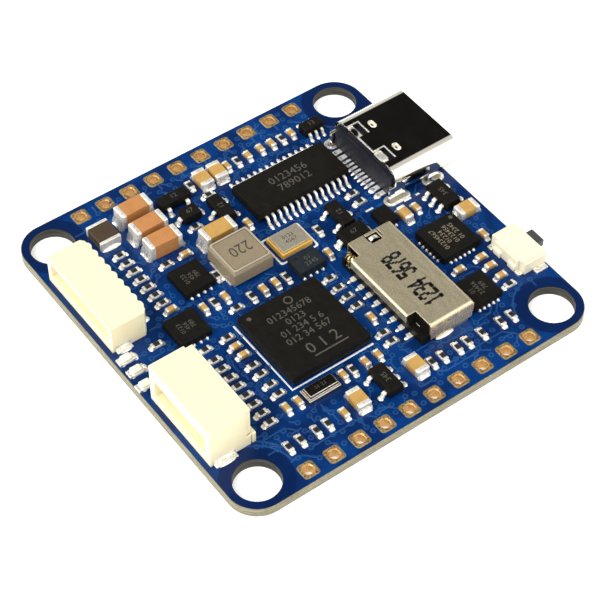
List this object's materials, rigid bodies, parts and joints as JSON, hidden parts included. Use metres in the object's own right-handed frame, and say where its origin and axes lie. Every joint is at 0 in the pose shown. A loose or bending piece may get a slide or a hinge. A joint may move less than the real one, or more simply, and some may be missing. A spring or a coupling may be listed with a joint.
{
  "type": "flight controller board",
  "caption": "Square flight controller board with corner mounting holes, solder pad rows, a USB receptacle, side-entry connectors, a card socket and a boot switch.",
  "frame": {"origin": "centre of the four mounting holes on the board's bottom face", "axes": "+Z out of the component side; +X towards the edge with the USB receptacle and the boot switch; +Y towards the row of pads beside the receptacle"},
  "size_m": [0.0371, 0.036, 0.0052],
  "materials": {
    "laminate": "gloss solder mask",
    "gold_pad": "plated",
    "tin_plating": "bright",
    "bright_steel": "bright",
    "black_insulator": "satin",
    "steel_plate": "satin",
    "gold_contact": "plated",
    "ivory_nylon": "satin",
    "tin_lead": "bright",
    "satin_nickel": "satin",
    "black_tray": "matte",
    "ivory_switch": "satin",
    "grey_plunger": "matte",
    "spring_steel": "satin",
    "chip_black": "moulded",
    "chip_slate": "moulded",
    "ferrite_grey": "satin",
    "ferrite_brown": "satin",
    "gold_rim": "plated",
    "crystal_lid_metal": "satin",
    "ceramic_orange": "satin",
    "ceramic_mustard": "satin",
    "ceramic_white": "matte",
    "film_black": "satin",
    "led_white": "matte",
    "led_lens": "clear"
  },
  "bodies": {
    "board": {"circuit_board": "laminate", "edge_pads": "gold_pad", "slot_linings": "tin_plating", "usb_shell": "bright_steel", "usb_insulator": "black_insulator", "usb_mid_plate": "steel_plate", "usb_contacts": "gold_contact", "signal_connector_housing": "ivory_nylon", "signal_connector_contacts": "tin_lead", "signal_connector_tabs": "tin_lead", "power_connector_housing": "ivory_nylon", "power_connector_contacts": "tin_lead", "power_connector_tabs": "tin_lead", "card_cover": "satin_nickel", "card_tray": "black_tray", "card_contact_tails": "tin_lead", "card_detect_spring": "gold_contact", "boot_switch_housing": "ivory_switch", "boot_switch_lid": "ivory_switch", "boot_switch_dome": "spring_steel", "boot_switch_terminals": "tin_lead", "processor_package": "chip_black", "processor_balls": "tin_lead", "overlay_chip_body": "chip_black", "overlay_chip_leads": "tin_lead", "motion_sensor_body": "chip_black", "motion_sensor_pads": "tin_lead", "spare_motion_sensor_body": "chip_black", "spare_motion_sensor_pads": "tin_lead", "pressure_sensor_body": "chip_slate", "pressure_sensor_pads": "tin_lead", "driver_chip_bodies": "chip_black", "driver_chip_pads": "tin_lead", "transistor_bodies": "chip_black", "transistor_leads": "tin_lead", "regulator_bodies": "chip_black", "regulator_leads": "tin_lead", "diode_bodies": "chip_black", "diode_leads": "tin_lead", "power_inductor_body": "ferrite_grey", "power_inductor_terminals": "tin_lead", "filter_inductor_body": "ferrite_brown", "filter_inductor_terminals": "tin_lead", "crystal_base": "gold_rim", "crystal_lid": "crystal_lid_metal", "clock_crystal_can": "crystal_lid_metal", "large_capacitor_bodies": "ceramic_orange", "large_capacitor_terminals": "tin_lead", "medium_capacitor_bodies": "ceramic_mustard", "medium_capacitor_terminals": "tin_lead", "small_capacitor_bodies": "ceramic_mustard", "small_capacitor_terminals": "tin_lead", "resistor_bodies": "ceramic_white", "resistor_films": "film_black", "resistor_terminals": "tin_lead", "status_led_bodies": "led_white", "status_led_lenses": "led_lens", "status_led_terminals": "tin_lead"},
    "boot_plunger": {"boot_switch_plunger": "grey_plunger"},
    "card_springs": {"card_contact_springs": "gold_contact"}
  },
  "joints": [
    {"name": "boot_press", "type": "slide", "parent": "board", "child": "boot_plunger", "axis": [-1, 0, 0], "range_m": [0, 0.00025], "stiffness_N_per_m": 6000, "springref_m": -0.0001, "deforming": ["boot_switch_dome"]},
    {"name": "card_spring_flex", "type": "hinge", "parent": "board", "child": "card_springs", "pos_m": [0.0046, -0.007, 0.00187], "axis": [0, 1, 0], "range_deg": [0, 6], "stiffness_Nm_per_rad": 0.08, "springref_deg": -1.15}
  ]
}
